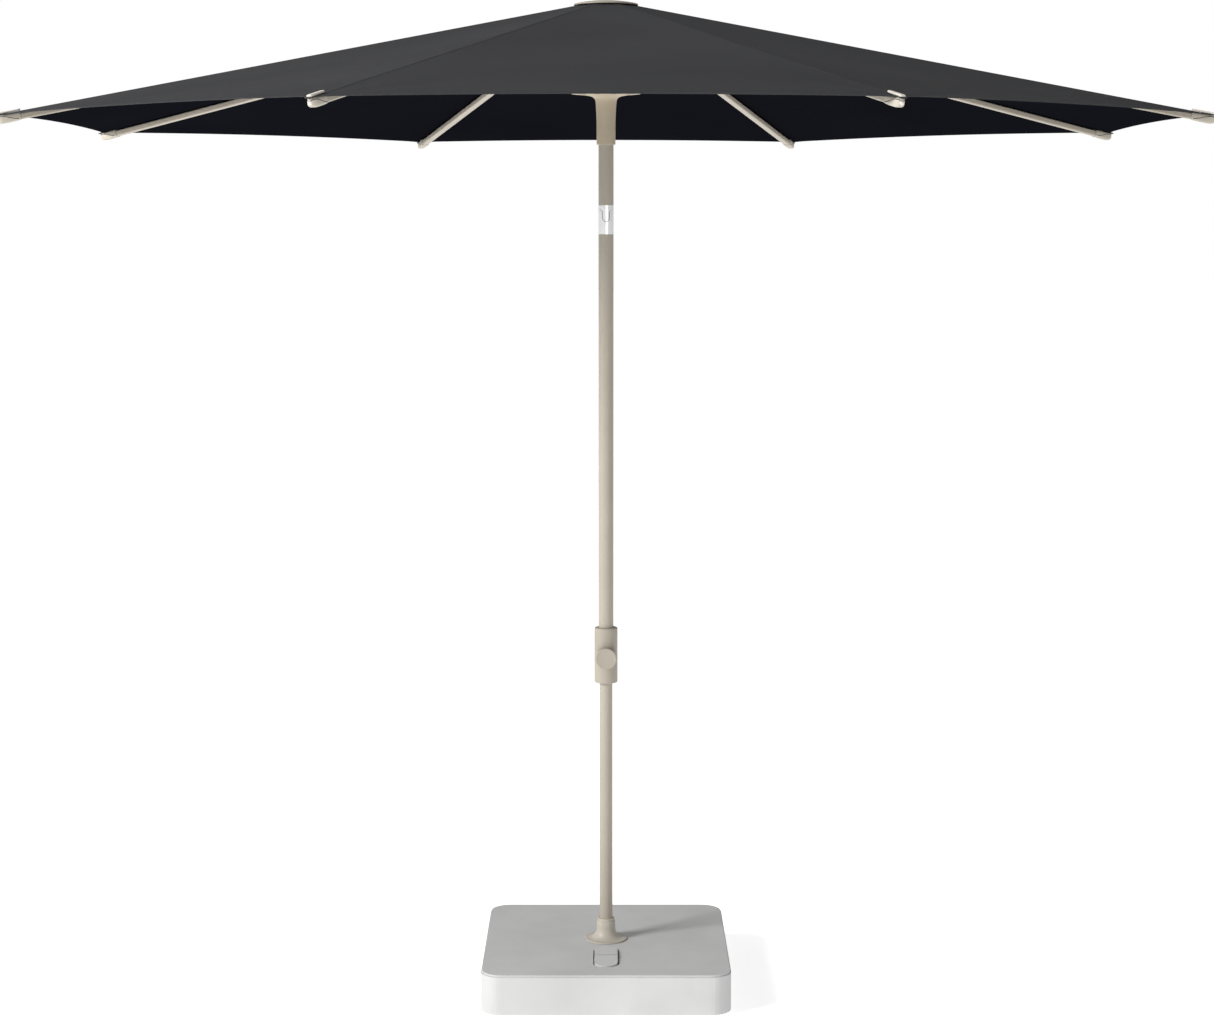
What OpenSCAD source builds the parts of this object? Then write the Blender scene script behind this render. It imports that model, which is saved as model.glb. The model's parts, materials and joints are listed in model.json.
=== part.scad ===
// Centre-pole parasol on a square concrete base.
// The origin is on the ground below the mast, +Z is up and -Y is the front, where the clamp knob is.

/* [Canopy] */
// Distance from the mast axis to a corner of the fabric
canopy_r = 1500; // [1200:10:1560]
// Slope of the open ribs below the horizontal, in degrees
rib_slope = 11.74; // [9:0.01:15]
// How far the middle of each hem curves inwards
hem_curve = 8; // [0:1:60]
// Thickness of the fabric
fabric_t = 1; // [0.8:0.1:1.4]
// Height of the fabric's upper face above a rib's centre line
fabric_lift = 12; // [11:0.5:14]

/* [Ribs and struts] */
// Width of a rib
rib_w = 20; // [16:1:24]
// Height of a rib
rib_h = 15; // [12:1:17]
// Wall of a rib
rib_wall = 1.4; // [1:0.1:2]
// Distance from a rib's crown pivot to its strut bracket, along the rib
strut_reach = 415; // [340:5:500]
// Distance of the strut pivot below the rib's centre line
strut_drop = 14; // [13:0.5:17]
// Width of a strut
strut_w = 10; // [8:1:12]
// Height of a strut
strut_h = 8; // [6:1:9]
// Length of a rib's end cap
tip_len = 55; // [40:1:70]

/* [Crown and runner] */
// Height of the rib pivots above the ground
pivot_z = 2472; // [2360:1:2800]
// Distance of the rib pivots and the strut ends from the mast axis
pivot_r = 62; // [58:1:70]
// Diameter of the cap on the crown
cap_d = 162; // [150:1:190]
// Height of the cap's dome above its rim
cap_rise = 11; // [8:1:16]
// Diameter of the runner's flared disc
runner_disc_d = 174; // [150:2:190]
// Length of the runner from its lower end to its disc
runner_h = 130; // [110:1:170]

/* [Masts] */
// Outer diameter of the upper mast and the tilt joint
mast_d = 38; // [34:1:44]
// Wall of the mast tubes
mast_wall = 2; // [1.5:0.1:3]
// Radial gap between the telescoping masts
slide_gap = 0.5; // [0.4:0.1:0.8]
// Height of the collar's lower end
collar_z = 767; // [700:5:900]
// Length of the collar
collar_h = 141; // [135:1:180]
// Diameter of the collar
collar_d = 59; // [57:1:66]
// Diameter of the clamp knob
knob_d = 53.6; // [46:0.2:58]
// Height of the lower mast's upper end
lower_mast_top = 1250; // [1150:10:1300]

/* [Tilt joint] */
// Height of the tilt pin
tilt_z = 1956; // [1856:1:2100]
// Largest tilt, in degrees
tilt_max = 35; // [20:1:40]
// Width of the tongue
tongue_w = 18; // [14:1:20]

/* [Base] */
// Side of the square slab
slab_w = 616; // [500:2:760]
// Thickness of the slab
slab_h = 98; // [90:1:140]
// Corner radius of the slab
slab_corner = 50; // [20:1:80]
// Height of the rubber feet
foot_h = 4; // [3:0.5:8]
// Radius of the flange's rim
flange_r = 54; // [48:1:70]
// Height of the flange
flange_h = 55; // [45:1:80]
// Length of the foot pedal
pedal_len = 160; // [130:1:180]
// Width of the foot pedal
pedal_w = 58; // [44:1:70]
// Distance of the pedal's pivot in front of the mast axis
pedal_y = 159; // [140:1:200]
// Travel of the pedal, in degrees
pedal_travel = 6; // [3:0.5:7]

/* [Hidden] */
rib_count = 8;

// Fits and gaps
seat_gap = 0.05;      // between pieces that are fixed in each other
run_gap = 0.06;       // round a pin that turns
free_gap = 0.4;       // between pieces that pass without touching
cut = 1;              // how far a cutter runs past a face
steps = 12;           // segments in a worked-out curve

// Colours
sand = [0.71, 0.68, 0.62];
bright = [0.82, 0.83, 0.84];
dark = [0.24, 0.24, 0.25];
concrete = [0.86, 0.86, 0.85];
rubber = [0.15, 0.15, 0.15];
nylon = [0.30, 0.29, 0.27];

// Masts
mast_r = mast_d / 2;
mast_bore_r = mast_r - mast_wall;
lower_mast_r = mast_bore_r - slide_gap;
guide_r = lower_mast_r + free_gap;
spigot_len = 40;
collar_top = collar_z + collar_h;
collar_seat = 28;
knob_z = collar_z + collar_h / 2;

// Base
slab_top = foot_h + slab_h;
slab_edge = 5;
foot_r = 30;
foot_inset = 68;
socket_r = lower_mast_r + 5.5;
socket_floor = 6;
socket_z = foot_h + 10;
mast_foot_z = socket_z + socket_floor + free_gap;

// Pedal and lock bolt
pedal_proud = 6;
pedal_t = 18;
pedal_corner = pedal_w / 2 - 1;
pedal_gap = 3;
pedal_pin_r = 4;
pedal_pin_z = slab_top - 10;
pedal_ridge = 3;
pedal_arm = 32;
pedal_arm_t = 12;
bolt_r = 7;
bolt_z = pedal_pin_z - pedal_arm;
bolt_back = pedal_y - pedal_arm_t / 2 - 1;
recess_depth = pedal_t - pedal_proud + pedal_len / 2 * sin(pedal_travel) + pedal_gap;

// Clamp
bush_h = 24;
bush_wall = 4;
boss_front = collar_d / 2 + 13;
knob_t = 23;
knob_gap = 0.5;
screw_r = 4;
shoe_r = 5.5;
shoe_len = 4.2;
shoe_travel = 1.25;
shoe_back = lower_mast_r + 0.3 + shoe_len;

// Tilt joint
joint_bottom = tilt_z - 47;
joint_top = tilt_z + 26;
shoulder_in = 10;
shoulder_out = 18.3;
tongue_end = 6;       // the tongue's round end is centred this far below the pin
tongue_back_r = 9;    // the tongue is round about the pin at the back, to this radius
tilt_pin_r = 4;

// Crown and linkage
hub_r = pivot_r + 8;
hub_bottom = pivot_z - 10;
hub_top = pivot_z + 8;
hub_neck_r = mast_r + 5;
hub_neck = 32;
hub_slot_w = 10;
eye_w = 8;
eye_r = 5;
pin_r = 2;
rib_start = 14;
rib_len = (canopy_r - pivot_r) / cos(rib_slope);
rib_end = rib_len - 12;
link = sqrt(pow(strut_reach, 2) + pow(strut_drop, 2));
link_angle = rib_slope + atan(strut_drop / strut_reach);
runner_pivot_z = pivot_z - 2 * link * sin(link_angle);
rivet_r = 2.5;
bracket_wall = 2;
runner_disc_z = runner_pivot_z - 11;
runner_slot_w = strut_w + 3;
runner_head_r = pivot_r + 9;
runner_r = mast_r + 4.8;
runner_bush_r = mast_r + 1.9;

// Cap and crown fabric
cap_r = cap_d / 2;
cap_rim_z = pivot_z + 13;
cap_wall = 2.5;
cap_boss_r = 14;
crown_z = hub_top + 1.5;
panel_start = 8;
seam_gap = 0.4;

function rib_angle(k) = -90 + 180 / rib_count + 360 / rib_count * (k - 1);

// ---------- shared shapes ----------

// A rounded rectangle centred on the origin
module rounded_rect(x, y, r) {
  offset(r = r, $fn = 32) square([x - 2 * r, y - 2 * r], center = true);
}

// A tube that stands on z = 0
module tube(r_out, r_in, h) {
  difference() {
    cylinder(r = r_out, h = h, $fn = 96);
    translate([0, 0, -cut]) cylinder(r = r_in, h = h + 2 * cut, $fn = 96);
  }
}

// Children are turned so that their +Z runs to the front, along -Y
module facing_front() {
  rotate([90, 0, 0]) children();
}

// A rod along X, centred on the origin
module cross_rod(r, length) {
  rotate([0, 90, 0]) cylinder(r = r, h = length, center = true, $fn = 64);
}

// A rib's own frame: the origin is its crown pivot and +X runs out along the rib
module at_rib(k) {
  rotate([0, 0, rib_angle(k)]) translate([pivot_r, 0, pivot_z]) rotate([0, rib_slope, 0]) children();
}

// ---------- base ----------

module base_slab() {
  color(concrete) difference() {
    translate([0, 0, foot_h]) union() {
      linear_extrude(slab_h - slab_edge) rounded_rect(slab_w, slab_w, slab_corner);
      translate([0, 0, slab_h - slab_edge])
        linear_extrude(slab_edge) rounded_rect(slab_w - slab_edge, slab_w - slab_edge, slab_corner);
    }
    translate([0, 0, socket_z]) cylinder(r = socket_r + seat_gap, h = slab_top, $fn = 96);
    pedal_recess();
    pedal_pin_shape(seat_gap);
    lock_bolt_bore(free_gap);
  }
}

// The hollow that the pedal rocks in, with a deeper pocket for its arm
module pedal_recess() {
  translate([0, -pedal_y, slab_top - recess_depth])
    linear_extrude(recess_depth + cut)
      rounded_rect(pedal_w + 2 * pedal_gap, pedal_len + 2 * pedal_gap, pedal_corner + pedal_gap);
  translate([-pedal_arm_t, -pedal_y - pedal_arm_t, bolt_z - 1.5 * bolt_r])
    cube([2 * pedal_arm_t, 2 * pedal_arm_t, slab_top - recess_depth - bolt_z + 1.5 * bolt_r + cut]);
}

module base_feet() {
  color(rubber) for (x = [-1, 1], y = [-1, 1])
    translate([x * (slab_w / 2 - foot_inset), y * (slab_w / 2 - foot_inset), 0])
      cylinder(r = foot_r, h = foot_h, $fn = 64);
}

// The steel sleeve that holds the mast in the slab
module mast_socket() {
  color(bright) difference() {
    translate([0, 0, socket_z]) cylinder(r = socket_r, h = slab_top - socket_z, $fn = 96);
    translate([0, 0, socket_z + socket_floor]) cylinder(r = guide_r, h = slab_top, $fn = 96);
    lock_bolt_bore(free_gap);
  }
}

// The trumpet-shaped flange that the mast stands in
module base_flange() {
  neck_r = guide_r + 5;
  foot_neck_r = guide_r + 7;
  rim = 4;
  curve_h = flange_h * 0.6;
  color(sand) translate([0, 0, slab_top]) rotate_extrude($fn = 96) polygon(concat(
    [[guide_r, 0], [flange_r, 0], [flange_r, rim]],
    [for (i = [1:steps]) let (a = 90 * i / steps) [
      flange_r - 3 - (flange_r - 3 - foot_neck_r) * sin(a),
      rim + (curve_h - rim) * (1 - cos(a))
    ]],
    [[neck_r, flange_h - 3], [neck_r - 1.5, flange_h - 1.5], [neck_r - 1.5, flange_h], [guide_r, flange_h]]
  ));
}

module pedal_pin_shape(grow) {
  translate([0, -pedal_y, pedal_pin_z]) cross_rod(pedal_pin_r + grow, pedal_w + 24 + 2 * grow);
}

module pedal_pin() {
  color(bright) pedal_pin_shape(0);
}

// A rocking pedal with a ridge across its middle and an arm that reaches down to the lock bolt
module clamp_pedal() {
  top = slab_top + pedal_proud;
  color(nylon) difference() {
    union() {
      translate([0, -pedal_y, 0]) intersection() {
        translate([0, 0, top - pedal_t])
          linear_extrude(pedal_t) rounded_rect(pedal_w, pedal_len, pedal_corner);
        rotate([90, 0, 90]) linear_extrude(pedal_w + 2 * cut, center = true) polygon([
          [-pedal_len / 2, top - pedal_t],
          [pedal_len / 2, top - pedal_t],
          [pedal_len / 2, top - pedal_ridge],
          [0, top],
          [-pedal_len / 2, top - pedal_ridge]
        ]);
      }
      translate([-pedal_arm_t / 2, -pedal_y - pedal_arm_t / 2, bolt_z - bolt_r])
        cube([pedal_arm_t, pedal_arm_t, top - pedal_t - bolt_z + bolt_r + cut]);
    }
    translate([0, -pedal_y, pedal_pin_z]) cross_rod(pedal_pin_r + run_gap, pedal_w + 2 * cut);
  }
}

module lock_bolt_bore(grow) {
  translate([0, 0, bolt_z]) facing_front() cylinder(r = bolt_r + grow, h = bolt_back + 2, $fn = 64);
}

// The bolt that the pedal presses against the mast
module lock_bolt() {
  color(bright) translate([0, -lower_mast_r - 0.3, bolt_z]) facing_front()
    cylinder(r = bolt_r, h = bolt_back - lower_mast_r - 0.3, $fn = 64);
}

// ---------- masts ----------

module lower_mast() {
  color(sand) translate([0, 0, mast_foot_z])
    tube(lower_mast_r, lower_mast_r - mast_wall, lower_mast_top - mast_foot_z);
}

// A plug that closes and guides the lower mast's upper end
module guide_plug() {
  rim = 3;
  color(nylon) {
    translate([0, 0, lower_mast_top - 25])
      cylinder(r = lower_mast_r - mast_wall - seat_gap, h = 25, $fn = 64);
    translate([0, 0, lower_mast_top]) cylinder(r = lower_mast_r, h = rim, $fn = 64);
  }
}

module upper_mast() {
  color(sand) translate([0, 0, collar_top - collar_seat])
    tube(mast_r, mast_bore_r, joint_bottom - collar_top + collar_seat);
}

// The collar that joins the masts, with the boss of its clamp knob
module height_collar() {
  round = 3;
  collar_r = collar_d / 2;
  color(sand) difference() {
    union() {
      translate([0, 0, collar_z]) rotate_extrude($fn = 96) polygon([
        [0, 0], [collar_r - round, 0], [collar_r - round * 0.3, round * 0.3], [collar_r, round],
        [collar_r, collar_h - round], [collar_r - round * 0.3, collar_h - round * 0.3],
        [collar_r - round, collar_h], [0, collar_h]
      ]);
      translate([0, -lower_mast_r - 3, knob_z]) facing_front()
        cylinder(r1 = collar_r - 1, r2 = knob_d / 2 - 3, h = boss_front - lower_mast_r - 3, $fn = 96);
    }
    translate([0, 0, collar_z - cut]) cylinder(r = guide_r, h = collar_h + 2 * cut, $fn = 96);
    translate([0, 0, collar_z - cut]) cylinder(r = guide_r + bush_wall, h = bush_h + cut, $fn = 96);
    translate([0, 0, collar_top - collar_seat])
      cylinder(r = mast_r + seat_gap, h = collar_seat + cut, $fn = 96);
    translate([0, 0, knob_z]) facing_front()
      cylinder(r = screw_r + run_gap, h = boss_front + cut, $fn = 64);
    translate([0, 0, knob_z]) facing_front()
      cylinder(r = shoe_r + 0.3, h = shoe_back + shoe_travel + 0.4, $fn = 64);
  }
}

module collar_bush() {
  recess = 1;
  color(nylon) translate([0, 0, collar_z + recess])
    tube(guide_r + bush_wall - seat_gap, guide_r, bush_h - recess);
}

// ---------- clamp ----------

// A round knob with a dished face
module clamp_knob() {
  r = knob_d / 2;
  lip = 4;
  color(sand) difference() {
    translate([0, -boss_front - knob_gap, knob_z]) facing_front() rotate_extrude($fn = 96) polygon(concat(
      [[0, 0], [r - 2, 0], [r, 2]],
      [for (i = [0:steps]) let (a = 90 * i / steps) [r - lip + lip * cos(a), knob_t - lip + lip * sin(a)]],
      [[r - lip - 3, knob_t - 1.2], [0, knob_t - 1.2]]
    ));
    translate([0, 0, knob_z]) facing_front()
      cylinder(r = screw_r + seat_gap, h = boss_front + knob_gap + 15, $fn = 64);
  }
}

module clamp_screw() {
  tip = shoe_back + shoe_travel + 0.6;
  color(bright) translate([0, -tip, knob_z]) facing_front()
    cylinder(r = screw_r, h = boss_front + knob_gap + 15 - tip, $fn = 64);
}

// The shoe that the screw presses against the lower mast
module clamp_shoe() {
  color(nylon) translate([0, -lower_mast_r - 0.3, knob_z]) facing_front()
    cylinder(r = shoe_r, h = shoe_len, $fn = 64);
}

// ---------- tilt joint ----------

// The front outline of the upper half: sloping shoulders and a tongue with a round end
module joint_outline(grow) {
  half = tongue_w / 2 + grow;
  edge = mast_r + 2;
  edge_z = shoulder_in + (shoulder_out - shoulder_in) * (edge - tongue_w / 2) / (mast_r - tongue_w / 2);
  polygon(concat(
    [[edge, 60], [edge, edge_z - grow], [half, shoulder_in - grow]],
    [for (i = [0:2 * steps]) let (a = -180 * i / (2 * steps)) [half * cos(a), -tongue_end + half * sin(a)]],
    [[-half, shoulder_in - grow], [-edge, edge_z - grow], [-edge, 60]]
  ));
}

module joint_block(grow) {
  rotate([90, 0, 0]) linear_extrude(3 * mast_d, center = true) joint_outline(grow);
}

// What the upper half's shoulders sweep behind the pin as it leans: round the pin first, then straight
module lean_relief(r) {
  reach = 2 * mast_d;
  rotate([90, 0, 90]) linear_extrude(reach, center = true) polygon(concat(
    [[0, reach]],
    [for (i = [0:steps]) let (a = tilt_max * i / steps) [r * sin(a), r * cos(a)]],
    [[reach, (r - reach * sin(tilt_max)) / cos(tilt_max)], [reach, reach]]
  ));
}

// The lower half: a fork with two cheeks, cut away at the back to let the upper half lean
module tilt_fork() {
  gap = 0.25;
  color(bright) difference() {
    union() {
      translate([0, 0, joint_bottom])
        cylinder(r = mast_r, h = tilt_z + shoulder_out + 2 - joint_bottom, $fn = 96);
      translate([0, 0, joint_bottom - spigot_len])
        cylinder(r = mast_bore_r - seat_gap, h = spigot_len + cut, $fn = 96);
    }
    translate([0, 0, tilt_z]) {
      joint_block(gap);
      lean_relief(shoulder_in - 3 * gap);
      cross_rod(tongue_back_r + gap, tongue_w + 2 * gap);
      cross_rod(tilt_pin_r, mast_d + 2 * cut);
    }
  }
}

module tilt_pin() {
  color(bright) translate([0, 0, tilt_z]) cross_rod(tilt_pin_r, 0.93 * mast_d);
}

// The upper half: it turns on the pin, and its tongue is rounded at the back
module tilt_tongue() {
  color(bright) difference() {
    union() {
      translate([0, 0, tilt_z - mast_d]) cylinder(r = mast_r, h = joint_top - tilt_z + mast_d, $fn = 96);
      translate([0, 0, joint_top - cut])
        cylinder(r = mast_bore_r - seat_gap, h = spigot_len + cut, $fn = 96);
    }
    translate([0, 0, tilt_z]) {
      rotate([90, 0, 0]) linear_extrude(3 * mast_d, center = true) difference() {
        translate([-mast_d, -2 * mast_d]) square([2 * mast_d, 2 * mast_d + 25]);
        joint_outline(0);
      }
      difference() {
        translate([-mast_d, 0, -2 * mast_d]) cube([2 * mast_d, 2 * mast_d, 2 * mast_d + shoulder_in - 5]);
        cross_rod(tongue_back_r, 3 * mast_d);
      }
      cross_rod(tilt_pin_r + run_gap, mast_d + 2 * cut);
    }
  }
}

// ---------- top mast and crown ----------

module top_mast() {
  color(sand) translate([0, 0, joint_top]) tube(mast_r, mast_bore_r, hub_bottom - 6 - joint_top);
}

// The hub: a disc with a slot for each rib, and a neck over the mast
module crown_hub() {
  color(sand) difference() {
    union() {
      translate([0, 0, hub_bottom]) cylinder(r = hub_r, h = hub_top - hub_bottom, $fn = 96);
      translate([0, 0, hub_bottom - hub_neck]) cylinder(r = hub_neck_r, h = hub_neck + cut, $fn = 96);
    }
    translate([0, 0, hub_bottom - hub_neck - cut])
      cylinder(r = mast_r + seat_gap, h = hub_neck - 6 + cut, $fn = 96);
    cylinder(r = screw_r + seat_gap, h = pivot_z + mast_d, $fn = 64);
    for (k = [1:rib_count]) rotate([0, 0, rib_angle(k)]) {
      translate([pivot_r - eye_r - 3, -hub_slot_w / 2, hub_bottom - cut])
        cube([hub_r, hub_slot_w, hub_top - hub_bottom + 2 * cut]);
      translate([pivot_r, 0, pivot_z])
        rotate([90, 0, 0]) cylinder(r = pin_r, h = 24, center = true, $fn = 48);
    }
  }
}

module rib_pins() {
  color(bright) for (k = [1:rib_count]) rotate([0, 0, rib_angle(k)]) translate([pivot_r, 0, pivot_z])
    rotate([90, 0, 0]) cylinder(r = pin_r, h = 24, center = true, $fn = 48);
}

function dome(r, rise, x) = rise * (1 - pow(x / r, 2));

// A shallow dome with a central boss that stands on the hub
module top_cap() {
  inner_r = cap_r - cap_wall;
  color(sand) difference() {
    union() {
      translate([0, 0, cap_rim_z]) rotate_extrude($fn = 96) polygon(concat(
        [for (i = [0:steps]) let (x = inner_r * i / steps) [x, dome(inner_r, cap_rise - cap_wall, x)]],
        [[inner_r, -2], [cap_r, -2]],
        [for (i = [steps:-1:0]) let (x = cap_r * i / steps) [x, dome(cap_r, cap_rise, x)]]
      ));
      translate([0, 0, crown_z + fabric_t + 0.1])
        cylinder(r = cap_boss_r, h = cap_rim_z + cap_rise - 1 - crown_z - fabric_t, $fn = 64);
    }
    cylinder(r = screw_r + seat_gap, h = cap_rim_z + cap_rise - 4, $fn = 64);
  }
}

module cap_bolt() {
  color(bright) {
    translate([0, 0, hub_bottom - 5])
      cylinder(r = screw_r, h = cap_rim_z + cap_rise - 5 - hub_bottom, $fn = 64);
    translate([0, 0, hub_bottom - 11]) cylinder(r = 7, h = 4.5, $fn = 6);
  }
}

// The disc of fabric that the cap holds down on the hub
module canopy_crown() {
  color(dark) difference() {
    translate([0, 0, crown_z]) cylinder(r = hub_r - 4, h = fabric_t, $fn = 96);
    cylinder(r = screw_r + 0.5, h = 2 * pivot_z, $fn = 64);
  }
}

// ---------- runner ----------

// The runner: a sleeve that flares into a thin disc, and a slotted head that takes the struts
module runner() {
  flare_h = 70;
  flare = [for (i = [0:2 * steps]) let (t = i / (2 * steps)) [
    runner_r + (runner_disc_d / 2 - runner_r) * (0.06 * t + 0.94 * pow(t, 12)),
    runner_h - 2.5 - flare_h * (1 - t) * (1 - 0.35 * t)
  ]];
  color(sand) translate([0, 0, runner_disc_z - runner_h]) difference() {
    union() {
      rotate_extrude($fn = 96) polygon(concat(
        [[runner_bush_r, 0], [runner_r - 1, 0], [runner_r, 1]],
        flare,
        [[runner_disc_d / 2, runner_h], [runner_bush_r, runner_h]]
      ));
      translate([0, 0, runner_h - cut]) tube(runner_head_r, runner_bush_r, 18 + cut);
    }
    for (k = [1:rib_count]) rotate([0, 0, rib_angle(k)])
      translate([pivot_r - strut_h, -runner_slot_w / 2, -cut])
        cube([runner_disc_d, runner_slot_w, runner_h + 30]);
  }
}

module runner_bush() {
  color(nylon) translate([0, 0, runner_disc_z - runner_h + 2])
    tube(runner_bush_r - seat_gap, mast_r + free_gap, runner_h + 14);
}

// ---------- ribs, tips, struts ----------

// A bar along +X with a rounded section
module bar_x(w, h, length, r) {
  rotate([90, 0, 90]) linear_extrude(length) rounded_rect(w, h, r);
}

// A hollow rib with an eye at its crown end and a bracket for its strut
module rib(k) {
  plug = 20;
  inner_w = rib_w - 2 * rib_wall;
  inner_h = rib_h - 2 * rib_wall;
  lug = strut_w / 2 + 0.5;
  color(sand) at_rib(k) difference() {
    union() {
      difference() {
        translate([rib_start, 0, 0]) bar_x(rib_w, rib_h, rib_end - rib_start, 4);
        translate([rib_start + plug, 0, 0]) bar_x(inner_w, inner_h, rib_end, 3);
      }
      translate([0, -eye_w / 2, -eye_r]) cube([rib_start + cut, eye_w, 2 * eye_r]);
      rotate([90, 0, 0]) cylinder(r = eye_r, h = eye_w, center = true, $fn = 64);
      for (side = [-1, 1]) translate([strut_reach, side * (lug + bracket_wall / 2), 0]) {
        translate([-7, -bracket_wall / 2, -strut_drop])
          cube([14, bracket_wall, strut_drop - rib_h / 2 + 0.7]);
        translate([0, 0, -strut_drop]) rotate([90, 0, 0])
          cylinder(r = 7, h = bracket_wall, center = true, $fn = 64);
      }
    }
    rotate([90, 0, 0]) cylinder(r = pin_r + run_gap, h = 2 * rib_w, center = true, $fn = 48);
    translate([strut_reach, 0, -strut_drop]) rotate([90, 0, 0])
      cylinder(r = rivet_r + run_gap, h = 2 * rib_w, center = true, $fn = 48);
  }
}

// An end cap over the rib, with a finger that holds the hem down
module rib_tip(k) {
  finger_w = 11;
  finger_t = 2.5;
  nose = rib_len + 4;
  outer = [rib_w + 4, rib_h + 3];
  color(sand) at_rib(k) union() {
    difference() {
      translate([nose - tip_len + 4, 0, -0.5]) bar_x(outer[0], outer[1], tip_len, 5);
      translate([nose - tip_len, 0, 0]) bar_x(rib_w + 0.2, rib_h + 0.2, rib_end - nose + tip_len + 1, 4.1);
    }
    translate([nose + 4, 0, fabric_lift / 2 + 1]) cube([6, finger_w, fabric_lift + 3], center = true);
    translate([nose - tip_len, -finger_w / 2, fabric_lift + free_gap])
      cube([tip_len + 4, finger_w, finger_t]);
  }
}

// A strut, with the rivet that it hangs on in its rib's bracket
module strut(k) {
  color(sand) rotate([0, 0, rib_angle(k)]) translate([pivot_r, 0, runner_pivot_z])
  rotate([0, -link_angle, 0]) {
    difference() {
      union() {
        translate([0, -strut_w / 2, -strut_h / 2]) cube([link, strut_w, strut_h]);
        for (x = [0, link]) translate([x, 0, 0]) rotate([90, 0, 0])
          cylinder(r = strut_h / 2, h = strut_w, center = true, $fn = 64);
      }
      for (x = [0, link]) translate([x, 0, 0]) rotate([90, 0, 0])
        cylinder(r = rivet_r + seat_gap, h = 2 * strut_w, center = true, $fn = 48);
    }
    translate([link, 0, 0]) rotate([90, 0, 0])
      cylinder(r = rivet_r, h = strut_w + 2 * bracket_wall + 2, center = true, $fn = 48);
  }
}

// ---------- canopy ----------

// A point of the fabric's upper face, in a rib's azimuth frame: s runs along the rib from its pivot,
// and v across the panel, from -1 on one mid-line through 0 on the rib to 1 on the other
function fabric_point(s, v, drop) =
  let (
    r = pivot_r + s * cos(rib_slope) + fabric_lift * sin(rib_slope),
    z = pivot_z - s * sin(rib_slope) + fabric_lift * cos(rib_slope),
    half = 180 / rib_count,
    mid_x = r * pow(cos(half), 2),
    mid_y = r * cos(half) * sin(half) - seam_gap,
    w = abs(v)
  ) [r + (mid_x - r) * w, sign(v) * mid_y * w, z - drop];

function hem_s(v) =
  rib_len - hem_curve * (1 - pow(1 - abs(v), 2)) / (cos(rib_slope) * cos(180 / rib_count));

// The part of the canopy that one rib carries, out to the middle of the gores beside it
module canopy_panel(k) {
  columns = 2 * steps;
  across = [for (i = [0:columns]) 2 * i / columns - 1];
  points = concat(
    [for (v = across) fabric_point(panel_start, v, 0)],
    [for (v = across) fabric_point(hem_s(v), v, 0)],
    [for (v = across) fabric_point(panel_start, v, fabric_t)],
    [for (v = across) fabric_point(hem_s(v), v, fabric_t)]
  );
  row = columns + 1;
  side = [[0, row, 3 * row, 2 * row], [columns, columns + 2 * row, columns + 3 * row, columns + row]];
  strips = [for (i = [0:columns - 1]) each [
    [i, i + 1, i + 1 + row, i + row],
    [i + 2 * row, i + 3 * row, i + 1 + 3 * row, i + 1 + 2 * row],
    [i, i + 2 * row, i + 1 + 2 * row, i + 1],
    [i + row, i + 1 + row, i + 1 + 3 * row, i + 3 * row]
  ]];
  color(dark) rotate([0, 0, rib_angle(k)]) polyhedron(points, concat(side, strips));
}

// ---------- all nodes ----------

base_slab();
base_feet();
mast_socket();
base_flange();
pedal_pin();
clamp_pedal();
lock_bolt();
lower_mast();
guide_plug();
upper_mast();
height_collar();
collar_bush();
clamp_knob();
clamp_screw();
clamp_shoe();
tilt_fork();
tilt_pin();
tilt_tongue();
top_mast();
crown_hub();
rib_pins();
top_cap();
cap_bolt();
canopy_crown();
runner();
runner_bush();
for (k = [1:rib_count]) {
  rib(k);
  rib_tip(k);
  canopy_panel(k);
  strut(k);
}
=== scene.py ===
"""The looks of the patio umbrella: fabric canopy, end caps, cap, collar, knob, base and materials."""
import json
import math

import bmesh
import bpy
from mathutils import Matrix, Vector


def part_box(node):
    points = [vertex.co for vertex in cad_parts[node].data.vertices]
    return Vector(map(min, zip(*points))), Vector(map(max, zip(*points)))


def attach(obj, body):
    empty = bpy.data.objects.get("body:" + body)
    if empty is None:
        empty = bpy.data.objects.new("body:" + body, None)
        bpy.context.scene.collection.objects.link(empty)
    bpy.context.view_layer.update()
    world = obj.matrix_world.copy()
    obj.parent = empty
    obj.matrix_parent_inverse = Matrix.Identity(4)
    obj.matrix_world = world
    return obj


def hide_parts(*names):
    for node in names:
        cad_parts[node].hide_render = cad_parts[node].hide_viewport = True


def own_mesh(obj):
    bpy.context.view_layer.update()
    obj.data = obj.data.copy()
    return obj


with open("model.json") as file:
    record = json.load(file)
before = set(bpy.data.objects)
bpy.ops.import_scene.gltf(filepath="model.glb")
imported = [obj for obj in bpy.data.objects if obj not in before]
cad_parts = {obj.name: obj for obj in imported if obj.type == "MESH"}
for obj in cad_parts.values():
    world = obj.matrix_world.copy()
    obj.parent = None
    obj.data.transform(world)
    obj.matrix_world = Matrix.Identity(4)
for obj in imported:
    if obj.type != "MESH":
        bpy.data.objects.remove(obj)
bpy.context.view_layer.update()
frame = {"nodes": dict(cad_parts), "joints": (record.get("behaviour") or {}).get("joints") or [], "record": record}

# ---------- sizes, in metres ----------

# Ribs and the plane of the fabric, as in the CAD model
RIBS = 8
HALF_GORE = math.pi / RIBS
RIB_SLOPE = math.radians(11.74)
PIVOT_R = 0.062
FABRIC_LIFT = 0.012
CANOPY_R = 1.5
RIB_LEN = (CANOPY_R - PIVOT_R) / math.cos(RIB_SLOPE)

# Fabric: the hem's inward curve and upward arch, the sag of a gore, and creases at the corners
HEM_CURVE = 0.008
HEM_ARCH = 0.0055
GORE_SAG = 0.007
CREASE = 0.0016
FABRIC_T = 0.0007
TOP_START = -0.004
CROWN_CLOTH_R = 0.079

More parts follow.
